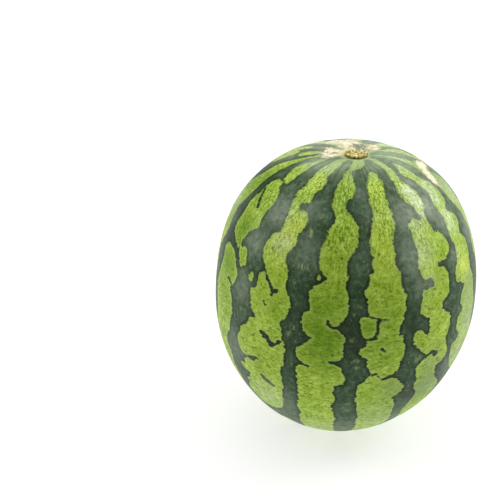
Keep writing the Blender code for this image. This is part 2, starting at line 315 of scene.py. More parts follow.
DRAWN_BANDS = (
    BAND_LEFT_EDGE,
    BAND_FAR_LEFT,
    BAND_LEFT,
    BAND_MIDDLE,
    BAND_RIGHT_OF_MIDDLE,
    BAND_RIGHT,
    BAND_FAR_RIGHT,
    BAND_RIGHT_EDGE,
)
# Light islands of their own, each one closed outline.
ISLANDS = (
    [(2.4, 171.5), (5.8, 170.8), (8.6, 172.3), (9.4, 175.5), (8.9, 181), (9, 186), (7.4, 189.8),
     (5.6, 190.5), (4, 188.6), (2.8, 184.5), (2.3, 178)],
    [(-17.4, 136.2), (-16.2, 136), (-15.4, 137.8), (-16.2, 139.8), (-17.5, 139.4)],
    [(-50.5, 150), (-49.2, 150.5), (-48.9, 156), (-49.8, 159), (-51.2, 158), (-51.4, 153)],
    [(-109, 25), (-101, 25), (-98.5, 34), (-99.5, 46), (-105, 49), (-110, 44), (-110, 34)],
    [(-117, 50), (-110, 52), (-108, 62), (-109, 74), (-113, 80), (-117, 70), (-118, 58)],
    [(-42, 320), (-37, 322), (-34, 332), (-33, 346), (-35, 362), (-37, 384), (-45, 384), (-46, 366),
     (-48, 350), (-47, 333)],
    [(132, 322), (139, 320), (142, 334), (141, 350), (143, 366), (141, 384), (133, 384), (134, 366),
     (131, 350), (132, 335)],
)
# Dark cracks across the light bands: (half-width in mm, points along the crack).
CRACKS = (
    (1.5, [(-74.5, 85), (-71.5, 90), (-69, 96), (-66.5, 100)]),
    (3.2, [(-67.5, 142), (-64.6, 144.5), (-62.6, 149), (-61, 153)]),
    (1.3, [(-64.2, 139.5), (-64.6, 144)]),
    (1.6, [(-66.5, 171), (-63.5, 174), (-60.5, 178)]),
    (1.4, [(-42, 147.5), (-40.2, 151.5), (-38.5, 155)]),
    (1.9, [(-38.5, 155), (-37.2, 158.5), (-37.2, 162)]),
    (1.4, [(-37.2, 158.5), (-34.5, 157.3)]),
    (1.5, [(-40.8, 171.5), (-40.2, 173.2)]),
    (2.1, [(-40.8, 200.5), (-39.2, 201), (-37.4, 203.5), (-36.6, 207), (-35.4, 209.3), (-34, 208)]),
    (1.5, [(-34, 208), (-32.3, 205.3), (-30.3, 201.5)]),
    (1.4, [(-40, 205.5), (-37.4, 203.5)]),
    (2.1, [(-41.8, 249.3), (-40.5, 252), (-38.3, 254.5), (-36, 256.8)]),
    (1.3, [(-24, 216.8), (-21.2, 219.5), (-18.6, 221.2)]),
    (1.5, [(9.8, 174.5), (9.7, 180), (9.5, 186), (8.0, 190.6), (5.4, 191.6)]),
    (1.5, [(12.2, 202), (13.4, 204.8)]),
    (1.3, [(8.6, 229.5), (10, 227.5), (11.6, 231)]),
)
# Corky, bleached patches on the crown and the shoulder, each one closed outline.
CORK_PATCHES = (
    [(-83, 16), (-82, 24), (-89, 27), (-96.5, 26.5), (-101, 25), (-104, 22), (-102.5, 17.5), (-95, 14)],
    [(-111, 18), (-109, 23.5), (-115, 27), (-127, 28), (-134, 24), (-134, 20), (-126, 17.5), (-118, 17)],
    [(-76, 8), (-84, 11), (-90, 15), (-110, 17), (-133, 19), (-142, 14), (-150, 8), (-110, 5)],
    [(-142, 12), (-150, 19), (-160, 27), (-167, 31), (-172, 38), (-178, 43), (177, 43), (175, 37),
     (177, 30), (-178, 20), (-172, 9)],
    [(-148, 34), (-149, 42), (-160, 42), (-172, 40), (-170, 33), (-158, 33)],
    [(178, 29), (177, 35), (169, 34), (162, 32), (161, 28), (170, 27.5)],
    [(149, 25), (144, 32), (137, 34.5), (129, 32), (121, 26), (126, 22), (134, 20.5), (142, 19.5), (148, 21)],
    [(109, 76), (113, 81), (116, 91), (112, 96), (109, 89), (106, 82)],
    [(104, 71), (101, 65), (96, 60.5), (91, 61.5), (85, 65.5), (80, 71), (77, 78), (78.5, 84), (83.5, 79.5),
     (88, 73), (94, 70.5), (100, 73)],
)
# Where the wax lies thick, and where painted sheen and painted reflected haze stand for the lamps and the
# pale floor: the upper right shoulder, the left side and the lower rims (longitude, distance from the stem,
# radius in mm, share of cover).
WAX_AND_SHEEN_PATCHES = (
    (34, 92, 20, 0.7), (31, 122, 20, 0.7), (33, 148, 16, 0.45), (50, 86, 15, 0.85), (60, 108, 16, 0.85),
    (56, 138, 14, 0.45), (46, 68, 9, 1.2), (45, 80, 9, 1.25), (43, 91, 6, 1.1), (66, 76, 14, 0.95),
    (54, 63, 8, 0.8), (62, 86, 10, 1.0), (113, 84, 18, 1.0), (57, 238, 18, 0.65), (70, 30, 12, 0.65),
    (88, 96, 24, 0.8), (-47, 92, 16, 0.6), (-54, 124, 16, 0.5), (-38, 116, 14, 0.65), (-30, 84, 12, 0.4),
    (-25, 118, 15, 0.4), (-20, 24, 8, 0.5), (42, 30, 11, 0.55), (-42, 32, 12, 0.6), (-68, 36, 14, 0.75),
    (-54, 168, 15, 0.4), (-40, 276, 24, 0.6), (6, 306, 18, 0.25), (64, 212, 20, 0.6), (100, 40, 30, 0.95),
    (-56, 232, 18, 0.42), (135, 45, 34, 0.95), (175, 50, 30, 0.85), (-150, 48, 30, 0.85),
    (-112, 60, 18, 0.55), (75, 48, 20, 0.8), (52, 52, 14, 0.5), (105, 90, 24, 0.7), (-94, 120, 20, 0.4),
    (4, 60, 8, 0.3), (12, 82, 14, 0.2), (3, 118, 14, 0.2), (-14, 318, 28, 0.45), (20, 308, 28, 0.45),
    (34, 292, 16, 0.25), (78, 130, 18, 0.5), (150, 112, 26, 0.5), (-160, 128, 24, 0.45),
    (118, 150, 24, 0.4), (165, 236, 24, 0.35), (-128, 236, 24, 0.35), (-178, 196, 20, 0.3),
    (130, 290, 30, 0.35), (-150, 300, 30, 0.35), (-100, 290, 26, 0.35), (84, 280, 26, 0.35),
)
# Where both greens are deeper, partly the rind's own tone and partly painted shade in the front's middle,
# along the left side and at the lower right, in the same four values.
DEEP_AND_SHADED_PATCHES = (
    (-15, 170, 26, 0.75), (-13, 190, 30, 1.0), (-10, 214, 16, 0.8), (-1, 190, 26, 0.9),
    (-10, 64, 18, 0.65), (-8, 35, 14, 0.7), (13, 33, 11, 0.5), (-8, 108, 18, 0.2), (8, 180, 10, 0.8),
    (14, 176, 22, 0.5), (13, 202, 20, 0.5), (-70, 96, 14, 0.4), (-67, 122, 15, 0.95), (-70, 158, 18, 0.8),
    (-83, 82, 13, 0.9), (-82, 112, 13, 0.9), (-77, 138, 10, 0.9), (-91, 124, 16, 0.7),
    (-66, 188, 16, 0.45), (-35, 168, 14, 0.3), (-27, 186, 18, 0.4), (24, 180, 16, 0.4),
    (-92, 92, 22, 0.8), (20, 254, 16, 0.45), (37, 264, 20, 0.85), (28, 292, 18, 0.3), (66, 196, 14, 0.3),
    (64, 240, 20, 0.35), (175, 160, 36, 0.85), (-132, 176, 36, 0.8), (128, 206, 34, 0.85),
    (104, 124, 24, 0.6), (-155, 214, 30, 0.7), (160, 84, 24, 0.55), (-118, 110, 26, 0.6),
    (94, 226, 28, 0.7), (-172, 262, 28, 0.6), (150, 262, 26, 0.6), (-104, 250, 24, 0.5),
    (82, 168, 16, 0.45),
)
# Where the light bands are brighter and yellower, in the same four values.
BRIGHT_PATCHES = (
    (60, 152, 11, 1.0), (-36, 108, 17, 0.5), (13, 112, 16, 0.3), (14, 56, 10, 0.3), (-37, 50, 10, 0.3),
)
# Where the light bands are dull and plain, partly the rind's own tone and partly painted shade at the lower
# right, in the same four values.
DULL_AND_SHADED_PATCHES = (
    (57, 240, 16, 0.6), (62, 178, 20, 0.7), (62, 206, 18, 0.65), (92, 80, 30, 0.8), (84, 120, 20, 0.5),
    (38, 232, 16, 0.5), (40, 258, 20, 0.8), (20, 246, 14, 0.5), (14, 284, 24, 0.45), (-140, 262, 24, 0.5),
    (114, 262, 24, 0.45), (176, 296, 24, 0.5), (-100, 218, 20, 0.3),
)
# Faint light flecks in the dark stripes, in the same four values.
FAINT_FLECKS = (
    (-24.9, 99.5, 2.4, 1.0), (-24.7, 103.5, 2.2, 0.9), (-25.2, 131, 2.6, 1.0), (-22.4, 130.5, 2.4, 0.9),
    (-21.5, 86, 2.0, 0.7), (-27.2, 193, 2.6, 0.6), (-0.8, 191, 2.6, 0.5), (0.5, 160, 2.2, 0.4),
    (-28.3, 145, 2.4, 0.7), (23.5, 124.5, 2.2, 0.6), (23.8, 130, 2.2, 0.6), (1.5, 212, 2.6, 0.6),
    (2.0, 219, 2.6, 0.6), (-0.5, 264, 3.0, 0.5), (-0.4, 274, 3.2, 0.5), (-25.2, 185.5, 2.4, 0.7),
    (-26.8, 192, 2.3, 0.55), (-25.6, 222, 2.2, 0.4), (-51.5, 128, 2.6, 0.5), (26.5, 150, 2.4, 0.4),
    (-47.5, 60, 2.4, 0.4), (2.2, 100, 2.0, 0.3), (29.2, 219.5, 4.0, 0.7), (-42, 308, 8, 0.45),
    (-55, 176, 3.0, 0.5), (-53.5, 190, 3.0, 0.4), (-56, 154, 3.5, 0.6), (-53, 158, 3.0, 0.5),
)

# The bands that the photograph doesn't show repeat the drawn ones with changes:
# (middle longitude, drawn band, turned left to right, slide along the rind in mm).
REPEATS = (
    (112, BAND_MIDDLE, False, -14),
    (137, BAND_LEFT, True, 9),
    (163, BAND_RIGHT_OF_MIDDLE, False, -9),
    (189, BAND_RIGHT, False, 16),
    (215, BAND_MIDDLE, True, 10),
    (241, BAND_RIGHT_OF_MIDDLE, True, 14),
)
REPEAT_WANDER_DEGREES = 1.6
REPEAT_WANDER_MM = 3.0
REPEAT_WAVE_MM = 21
REPEAT_CROWN_SHARE = 0.45  # a repeat's width at the stem, as a share of the drawn band's
REPEAT_FULL_DOWN = 75  # and the distance from the stem where it has all of that width
BLOSSOM_START_DOWN = 325
BLOSSOM_RUN_MM = 15
BLOSSOM_WIDENING = 0.7
FAR_FROM_EDGE_MM = 9  # the stripes' field stops growing this far from an edge


# The rind's form


def body_profile():
    """Distance from the stem in mm, radius and height in metres, down the body's plain outline."""
    crown_turn = np.linspace(math.pi / 2, 0, 2000)
    base_turn = np.linspace(0, math.acos((REST_RADIUS / GIRTH_RADIUS) ** (BASE_FULLNESS / 2)), 2000)[1:]
    radius = np.concatenate(
        [
            GIRTH_RADIUS * np.cos(crown_turn).clip(0) ** (2 / CROWN_FULLNESS),
            GIRTH_RADIUS * np.cos(base_turn) ** (2 / BASE_FULLNESS),
        ]
    )
    height = np.concatenate(
        [
            CROWN_HEIGHT * np.sin(crown_turn) ** (2 / CROWN_FULLNESS),
            -BASE_DEPTH * np.sin(base_turn) ** (2 / BASE_FULLNESS),
        ]
    )
    steps = np.hypot(np.diff(radius), np.diff(height))
    return np.concatenate([[0], np.cumsum(steps)]) * 1000, radius, height


PROFILE_DOWN, PROFILE_RADIUS, PROFILE_HEIGHT = body_profile()
REST_DOWN = PROFILE_DOWN[-1]
END_DOWN = REST_DOWN + REST_RADIUS * 1000


def ring_radius(down):
    """Radius in metres at a distance from the stem in mm, also on the flat spot."""
    return np.interp(down, PROFILE_DOWN, PROFILE_RADIUS) - np.maximum(down - REST_DOWN, 0) / 1000


def rind_points(turn, down):
    """The rind's points for longitudes in radians and distances from the stem in mm."""
    radius = ring_radius(down)
    height = np.interp(down, PROFILE_DOWN, PROFILE_HEIGHT)
    crown = height > 0
    gathering = np.where(crown, np.exp(-((radius / STEM_GATHER_RADIUS) ** 2)), 0)
    middle_x = LEAN * height + BEND * height**2 / CROWN_HEIGHT + STEM_OFFSET[0] * gathering
    middle_y = STEM_OFFSET[1] * gathering

    rib = RIB_HEIGHT * smooth_step(0, RIB_RISE, radius - REST_RADIUS) * np.cos(RIBS * turn)
    near_stem = np.where(crown, np.exp(-radius / PUCKER_REACH), 0)
    pucker = PUCKER_HEIGHT * near_stem * smooth_step(SEAT_RADIUS, 2 * SEAT_RADIUS, radius)
    out = radius + rib + pucker * np.cos(RIBS * turn + PUCKER_TURN)

    basin = np.where(crown, BASIN_DEPTH * np.exp(-((radius / BASIN_RADIUS) ** 2)), 0)
    seat = np.where(crown, SEAT_DEPTH * (1 - smooth_step(0.94 * SEAT_RADIUS, SEAT_RADIUS, radius)), 0)
    scar_share = 1 - smooth_step(0.55 * BLOSSOM_SCAR_RADIUS, BLOSSOM_SCAR_RADIUS, radius)
    dimple = np.where(crown, 0, BLOSSOM_SCAR_DEPTH * scar_share)
    x = middle_x + out * np.sin(turn)
    y = middle_y - out * np.cos(turn) * (1 - STEM_FLATNESS * gathering)
    return np.stack([x, y, height - basin - seat + dimple], axis=1)


def ring_spread(down):
    """Millimetres that a degree of longitude takes up at a distance from the stem."""
    return np.maximum(ring_radius(down) * 1000 * math.pi / 180, 0.05)


# The stripes' fields


def near_turn(turn, middle):
    """Longitudes turned by whole circles until they are nearest to a middle."""
    return (turn - middle + 180) % 360 - 180 + middle


def deepest(field, outline, turn, down, spread):
    """Raises a field of millimetres inside to what one more outline gives."""
    middle = outline[:, 0].mean()
    here = near_turn(turn, middle)
    margin_turn = FAR_FROM_EDGE_MM / spread
    close = (
        (here > outline[:, 0].min() - margin_turn)
        & (here < outline[:, 0].max() + margin_turn)
        & (down > outline[:, 1].min() - FAR_FROM_EDGE_MM)
        & (down < outline[:, 1].max() + FAR_FROM_EDGE_MM)
    )
    depth = depth_inside(outline, here[close], down[close], spread[close])
    field[close] = np.maximum(field[close], depth)


def grown_repeat(number, middle, band, turned, slide):
    """One hidden band: a drawn band moved, perhaps turned, slid along the rind and made to wander."""
    left, right = band
    points = np.array(left + right[::-1], float)
    own_middle = points[:, 0].mean()
    grown = []
    for turn, down in points:
        share = math.sin(math.pi * min(1, max(0, down / REST_DOWN)))
        spot = Vector((down / REPEAT_WAVE_MM, 2 * number, 0.3 * (turn - own_middle)))
        off = noise.noise(spot) * REPEAT_WANDER_DEGREES
        along = noise.noise(spot + Vector((0, 0, 40))) * REPEAT_WANDER_MM
        away = (own_middle - turn) if turned else (turn - own_middle)
        away *= REPEAT_CROWN_SHARE + (1 - REPEAT_CROWN_SHARE) * min(1, down / REPEAT_FULL_DOWN)
        grown.append((middle + away + off * share, down + (slide + along) * share))
    return grown


def widened(outline):
    """A band's outline, opened out and run on towards the blossom end, where the dark stripes thin."""
    points = np.array(outline, float)
    middle = points[:, 0].mean()
    share = np.clip((points[:, 1] - BLOSSOM_START_DOWN) / (REST_DOWN - BLOSSOM_START_DOWN), 0, 1)
    points[:, 0] = middle + (points[:, 0] - middle) * (1 + BLOSSOM_WIDENING * share)
    points[:, 1] += BLOSSOM_RUN_MM * share**4
    return points


def light_field(turn, down):
    """Millimetres that each point lies inside the light bands, negative in the dark stripes."""
    spread = ring_spread(down)
    field = np.full(len(turn), -float(FAR_FROM_EDGE_MM))
    outlines = [widened(left + right[::-1]) for left, right in DRAWN_BANDS]
    outlines += [widened(grown_repeat(number, *repeat)) for number, repeat in enumerate(REPEATS)]
    outlines += ISLANDS
    for outline in outlines:
        deepest(field, smooth_loop(outline), turn, down, spread)
    for half_width, line in CRACKS:
        for start, end in zip(line, line[1:]):
            away = np.sqrt(squares_off(start, end, turn, down, spread))
            field = np.minimum(field, np.where(away < FAR_FROM_EDGE_MM, away - half_width, field))
    return field.clip(-FAR_FROM_EDGE_MM, FAR_FROM_EDGE_MM)


def patch_field(outlines, turn, down):
    """Millimetres that each point lies inside some closed outlines."""
    spread = ring_spread(down)
    field = np.full(len(turn), -float(FAR_FROM_EDGE_MM))
    for outline in outlines:
        points = np.array(outline, float)
        points[:, 0] = np.unwrap(points[:, 0], period=360)
        deepest(field, smooth_loop(points), turn, down, spread)
    return field.clip(-FAR_FROM_EDGE_MM, FAR_FROM_EDGE_MM)


def soft_patches(patches, turn, down):
    """The strongest share that soft round patches give at each point."""
    spread = ring_spread(down)
    cover = np.zeros(len(turn))
    for middle, from_stem, radius, share in patches:
        away = np.hypot((near_turn(turn, middle) - middle) * spread, down - from_stem) / radius
        cover = np.maximum(cover, share * np.exp(-(away**2)))
    return cover


# Materials


def waxy_rind():
    """Watermelon rind: a hard, waxed skin, satin, that the eye reads by its marbled greens.

    The light bands are yellow-green, netted with fine dark dashes and dots; the dark stripes are
    deepest at their edges and cloudy inside, with faint light flecks; the wax greys both in patches.
    Patches of painted sheen and highlight whiten them, and patches of painted shade deepen and dull them.
    deepest at their edges and cloudy inside, with faint light flecks; the wax greys both in patches.
    """
    material, add = new_material("Waxed marbled rind")
    mm = add("VectorMath", {0: add("TexCoord", {}, out="Object"), "Scale": 1000.0}, operation="SCALE")
    grain = add("Attribute", {}, out="Vector", attribute_name="grain_mm")
    light_mm, cork_mm, wax_and_sheen, deep_and_shade, bright, dull_and_shade, faint = (
        add("Attribute", {}, out="Fac", attribute_name=name)
        for name in ("light_mm", "cork_mm", "wax_and_sheen", "deep_and_shade", "bright", "dull_and_shade", "faint")
    )
    down = add("SeparateXYZ", {0: grain}, out="Z")
    across = add("VectorMath", {0: grain, 1: (0.42, 0.42, 1.0)}, operation="MULTIPLY")
    upright = add("VectorMath", {0: grain, 1: (1.0, 1.0, 0.55)}, operation="MULTIPLY")

    # Dashes 2 mm thick, upright near the stem and lying across lower down, and grains of 1.5 mm.
    lying = add("TexNoise", {"Vector": across, "Scale": 1 / 1.9, "Detail": 2.0, "Distortion": 0.6})
    standing = add("TexNoise", {"Vector": upright, "Scale": 1 / 2.0, "Detail": 2.0, "Distortion": 0.5})
    low_share = add("MapRange", {"Value": down, "From Min": 110.0, "From Max": 190.0})
    dashes = add("Mix", {0: low_share, 2: standing, 3: lying}, data_type="FLOAT")
    grains = add("TexNoise", {"Vector": mm, "Scale": 1 / 1.5, "Detail": 1.0})
    marks = add("Mix", {0: 0.32, 2: dashes, 3: grains}, data_type="FLOAT")

    # Edges: teeth 2.6 mm high, frayed along the dashes near the stem, that wander by 5 mm.
    teeth = add("TexNoise", {"Vector": across, "Scale": 1 / 2.6, "Detail": 1.0})
    wander = add("TexNoise", {"Vector": mm, "Scale": 1 / 5.0, "Detail": 2.0})
    fray = add("TexNoise", {"Vector": mm, "Scale": 1 / 1.2, "Detail": 1.0})
    teeth = add("Mix", {0: low_share, 2: marks, 3: teeth}, data_type="FLOAT")
    bite = add(
        "MapRange", {"Value": down, "From Min": 110.0, "From Max": 190.0, "To Min": 9.0, "To Max": 4.0}
    )
    teeth = add("Math", {0: teeth, 1: 0.5}, operation="SUBTRACT")
    edge = add("Math", {0: teeth, 1: bite, 2: light_mm}, operation="MULTIPLY_ADD")
    edge = add("Math", {0: wander, 1: 3.2, 2: edge}, operation="MULTIPLY_ADD")
    edge = add("Math", {0: fray, 1: 1.4, 2: edge}, operation="MULTIPLY_ADD")
    edge = add("Math", {0: edge, 1: 2.3}, operation="SUBTRACT")
    inside = add(
        "MapRange", {"Value": edge, "From Min": -0.5, "From Max": 0.6}, interpolation_type="SMOOTHSTEP"
    )

    # Light bands: clouds of yellow-green 12 mm wide, deeper in places, partly as painted shade, and yellower
    # in others.
    clouds = add("TexNoise", {"Vector": mm, "Scale": 1 / 12.0, "Detail": 3.0})
    light = add("ValToRGB", {"Fac": clouds}, [(0.32, "#93b42e"), (0.5, "#a3c23e"), (0.7, "#b5d156")])
    for share, colour in ((deep_and_shade, "#6c9408"), (bright, "#d2e24e")):
        light = add("Mix", {0: share, 6: light, 7: linear(colour)}, data_type="RGBA")

    # The marks darken and lighten the light bands, most near the stem.
    most = add(
        "MapRange", {"Value": down, "From Min": 60.0, "From Max": 115.0, "To Min": 1.5, "To Max": 1.28}
    )
    least = add("Math", {0: 1.97, 1: most}, operation="SUBTRACT")
    shine = add(
        "MapRange", {"Value": marks, "From Min": 0.36, "From Max": 0.64, "To Min": most, "To Max": least}
    )
    light = add("Mix", {0: 1.0, 6: light, 7: shine}, data_type="RGBA", blend_type="MULTIPLY")

    # Pale marks that fade out lower down, and dark dashes that crowd together in places.
    pale_mark = add("MapRange", {"Value": marks, "From Min": 0.48, "From Max": 0.36})
    pale_share = add(
        "MapRange", {"Value": down, "From Min": 60.0, "From Max": 150.0, "To Min": 0.5, "To Max": 0.1}
    )
    pale_mark = add("Math", {0: pale_mark, 1: pale_share}, operation="MULTIPLY")
    crowd = add("TexNoise", {"Vector": mm, "Scale": 1 / 20.0, "Detail": 1.0})
    start = add(
        "MapRange", {"Value": crowd, "From Min": 0.35, "From Max": 0.65, "To Min": 0.60, "To Max": 0.52}
    )
    above = add("Math", {0: marks, 1: start}, operation="SUBTRACT")
    dash = add("MapRange", {"Value": above, "From Min": 0.0, "From Max": 0.07, "To Max": 0.7})

    # Dots 1.3 mm wide, some 3 mm apart, and now and then a spot of 3 mm.
    dot_cells = add("TexVoronoi", {"Vector": mm, "Scale": 1 / 3.0})
    dot = add(
        "MapRange", {"Value": dot_cells, "From Min": 0.16, "From Max": 0.34, "To Min": 1.0, "To Max": 0.0}
    )
    pick = add("SeparateXYZ", {0: dot_cells.node.outputs["Color"]}, out="X")
    picked = add("MapRange", {"Value": pick, "From Min": 0.65, "From Max": 1.05})
    dots = add("Math", {0: dot, 1: picked}, operation="MULTIPLY")
    spot_cells = add("TexVoronoi", {"Vector": mm, "Scale": 1 / 17.0})
    spot = add(
        "MapRange", {"Value": spot_cells, "From Min": 0.06, "From Max": 0.11, "To Min": 0.65, "To Max": 0.0}
    )

    # A thin paler rim where a light band ends, fainter in the upper half.
    rim = add("MapRange", {"Value": edge, "From Min": 3.4, "From Max": 0.9, "To Max": 0.5})
    rim_share = add("MapRange", {"Value": down, "From Min": 70.0, "From Max": 150.0, "To Min": 0.3})
    rim = add("Math", {0: rim, 1: rim_share}, operation="MULTIPLY")
    for share, colour in (
        (pale_mark, "#d8e6a0"), (dash, "#5d8013"), (dots, "#48691a"), (spot, "#35501c"), (rim, "#b0c860"),
    ):
        light = add("Mix", {0: share, 6: light, 7: linear(colour)}, data_type="RGBA")

    # Dark stripes: soft clouds 5 mm wide, and upright flecks of 2 mm that gather in places.
    gloom = add("TexNoise", {"Vector": mm, "Scale": 1 / 5.0, "Detail": 4.0, "Roughness": 0.62})
    dark = add("ValToRGB", {"Fac": gloom}, [(0.35, "#2c4328"), (0.52, "#415b3d"), (0.7, "#607a5a")])
    dark = add("Mix", {0: 0.6, 6: dark, 7: shine}, data_type="RGBA", blend_type="MULTIPLY")
    # The dark stripes deepen where the deep patches lie, partly as painted shade.
    deeper_and_shade = add("Math", {0: deep_and_shade, 1: 0.75}, operation="MULTIPLY")
    flecks = add("TexNoise", {"Vector": upright, "Scale": 1 / 1.9, "Detail": 3.0, "Roughness": 0.65})
    gathers = add("TexNoise", {"Vector": upright, "Scale": 1 / 8.0, "Detail": 1.0})
    fleck = add("MapRange", {"Value": flecks, "From Min": 0.56, "From Max": 0.68})
    gather = add("MapRange", {"Value": gathers, "From Min": 0.5, "From Max": 0.66})
    within = add("MapRange", {"Value": edge, "From Min": -1.8, "From Max": -4.0})
    for share in (gather, within, 0.45):
        fleck = add("Math", {0: fleck, 1: share}, operation="MULTIPLY")
    grainy = add("MapRange", {"Value": flecks, "From Min": 0.43, "From Max": 0.58})
    faint = add("Math", {0: faint, 1: grainy}, operation="MULTIPLY")
    fleck = add("Math", {0: fleck, 1: faint}, operation="MAXIMUM")
    beside = add("MapRange", {"Value": edge, "From Min": -3.6, "From Max": -0.9, "To Max": 0.85})

    # Wax, partly painted sheen: blue-grey over the dark, broken up by its clouds, and whitish over the light,
    # by its marks, with a near-white painted highlight where it lies thickest.
    patchy = add("Mix", {0: 0.4, 2: gloom, 3: marks}, data_type="FLOAT")
    broken = add("MapRange", {"Value": patchy, "From Min": 0.38, "From Max": 0.58, "To Min": 0.5})
    wax_and_sheen_on_dark = add("Math", {0: wax_and_sheen, 1: broken}, operation="MULTIPLY")
    for share, colour in (
        (deeper_and_shade, "#1b2c12"), (fleck, "#a2b97c"), (beside, "#1a2b0e"), (wax_and_sheen_on_dark, "#a3b09a"),
    ):
        dark = add("Mix", {0: share, 6: dark, 7: linear(colour)}, data_type="RGBA")
    speckled = add("MapRange", {"Value": marks, "From Min": 0.6, "From Max": 0.42, "To Min": 0.6})
    cover = add("Math", {0: wax_and_sheen, 1: speckled}, operation="MULTIPLY")
    wax_and_sheen_on_light = add(
        "MapRange",
        {"Value": cover, "From Min": 0.0, "From Max": 1.15, "To Max": 0.85},
        interpolation_type="SMOOTHSTEP",
    )
    whitish, dull_and_shaded_green = (
        add("Mix", {0: share, 6: linear(colour), 7: shine}, data_type="RGBA", blend_type="MULTIPLY")
        for share, colour in ((0.4, "#dfecc0"), (0.7, "#90a66a"))
    )
    whitest_wax_and_sheen = add("MapRange", {"Value": cover, "From Min": 0.95, "From Max": 1.3, "To Max": 0.5})
    # The dull patches turn the light bands a plain, darker green, partly as painted shade.
    for share, colour in ((wax_and_sheen_on_light, whitish), (whitest_wax_and_sheen, linear("#f6fae8")), (dull_and_shade, dull_and_shaded_green)):
        light = add("Mix", {0: share, 6: light, 7: colour}, data_type="RGBA")
    skin = add("Mix", {0: inside, 6: dark, 7: light}, data_type="RGBA")

    # Near the stem: thin pale lines that run to it with dark ones between, paler greens and a pale collar.
    long_grain = add("VectorMath", {0: grain, 1: (1.0, 1.0, 0.1)}, operation="MULTIPLY")
    lines = add("TexNoise", {"Vector": long_grain, "Scale": 1 / 6.0, "Detail": 2.0})
    line_reach = add("MapRange", {"Value": down, "From Min": 60.0, "From Max": 26.0, "To Max": 0.42})
    line = add("MapRange", {"Value": lines, "From Min": 0.5, "From Max": 0.64})
    line = add("Math", {0: line, 1: line_reach}, operation="MULTIPLY")
    groove = add("MapRange", {"Value": lines, "From Min": 0.47, "From Max": 0.36})
    groove = add("Math", {0: groove, 1: line_reach}, operation="MULTIPLY")
    crown = add("MapRange", {"Value": down, "From Min": 50.0, "From Max": 12.0, "To Max": 0.6})
    on_light = add("MapRange", {"Value": inside, "To Min": 0.3})
    crown = add("Math", {0: crown, 1: on_light}, operation="MULTIPLY")
    collar = add("MapRange", {"Value": down, "From Min": 15.0, "From Max": 11.5, "To Max": 0.6})

    # Cork: dry, frayed, cream with a touch of pink on the crown and yellow-white on the shoulder, with
    # a grey fringe where it thins out, yellower by the stub and brown at the blossom scar.
    shreds = add("TexNoise", {"Vector": mm, "Scale": 1 / 4.0, "Detail": 4.0, "Roughness": 0.65})
    ragged = add("Math", {0: shreds, 1: 14.0, 2: cork_mm}, operation="MULTIPLY_ADD")
    ragged = add("Math", {0: fray, 1: 3.0, 2: ragged}, operation="MULTIPLY_ADD")
    cork_on = add(
        "MapRange", {"Value": ragged, "From Min": 6.4, "From Max": 9.6}, interpolation_type="SMOOTHSTEP"
    )
    fringe = add("MapRange", {"Value": ragged, "From Min": 4.2, "From Max": 7.0, "To Max": 0.55})
    for share, colour in (
        (line, "#afc193"), (groove, "#4f6a40"), (crown, "#a9b994"), (collar, "#cdd6a2"), (fringe, "#b3a88c"),
    ):
        skin = add("Mix", {0: share, 6: skin, 7: linear(colour)}, data_type="RGBA")
    cork = add("ValToRGB", {"Fac": shreds}, [(0.34, "#b9ad7a"), (0.44, "#ddd3ac"), (0.58, "#ebe6cd")])
    shoulder = add("MapRange", {"Value": down, "From Min": 46.0, "From Max": 58.0, "To Max": 0.75})
    by_scar = add("MapRange", {"Value": down, "From Min": 390.0, "From Max": 400.0})
    by_stub = add("MapRange", {"Value": down, "From Min": 18.0, "From Max": 11.0})
    for share, colour in ((shoulder, "#e9e9c9"), (by_scar, "#8f7a48"), (by_stub, "#cdcc8c")):
        cork = add("Mix", {0: share, 6: cork, 7: linear(colour)}, data_type="RGBA")
    skin = add("Mix", {0: cork_on, 6: skin, 7: cork}, data_type="RGBA")

    # Satin where waxed and matt on the cork, with a fine relief from the dashes.
    rough = add("MapRange", {"Value": gloom, "To Min": 0.38, "To Max": 0.52})
    rough = add("Mix", {0: cork_on, 2: rough, 3: 0.85}, data_type="FLOAT")
    relief = add("Math", {0: dashes, 1: 0.15, 2: wander}, operation="MULTIPLY_ADD")
    bump = add("Bump", {"Height": relief, "Distance": 0.0003, "Strength": 0.6})
    shader = add(
        "BsdfPrincipled",
        {"Base Color": skin, "Roughness": rough, "Normal": bump, "IOR": 1.45, "Specular IOR Level": 0.15},
    )
    add("OutputMaterial", {"Surface": shader})
    return material


def torn_cork():
    """Dried stem cork: matt golden fibres with dark pits between them and pale torn tips; the pits are
    painted shade in the hollows, and the tips are partly painted highlight on the raised fibres.
    """
    material, add = new_material("Torn stem cork")
    mm = add("VectorMath", {0: add("TexCoord", {}, out="Object"), "Scale": 1000.0}, operation="SCALE")
    fibres = add(
        "TexNoise", {"Vector": mm, "Scale": 1 / 1.3, "Detail": 3.0, "Roughness": 0.6, "Distortion": 1.0}
    )
    colour = add("ValToRGB", {"Fac": fibres}, [(0.36, "#7d6a1c"), (0.47, "#d6c257"), (0.6, "#fbf3a8")])
    # Dark pits are painted shade in the hollows; pale tips are partly painted highlight on the raised fibres.
    for name, over in (("pale_and_highlight", "#f8f3cf"), ("pit_and_shade", "#33240a")):
        share = add("Attribute", {}, out="Fac", attribute_name=name)
        colour = add("Mix", {0: share, 6: colour, 7: linear(over)}, data_type="RGBA")
    bump = add("Bump", {"Height": fibres, "Distance": 0.0005, "Strength": 0.8})
    shader = add("BsdfPrincipled", {"Base Color": colour, "Roughness": 0.85, "Normal": bump})
    add("OutputMaterial", {"Surface": shader})
    return material


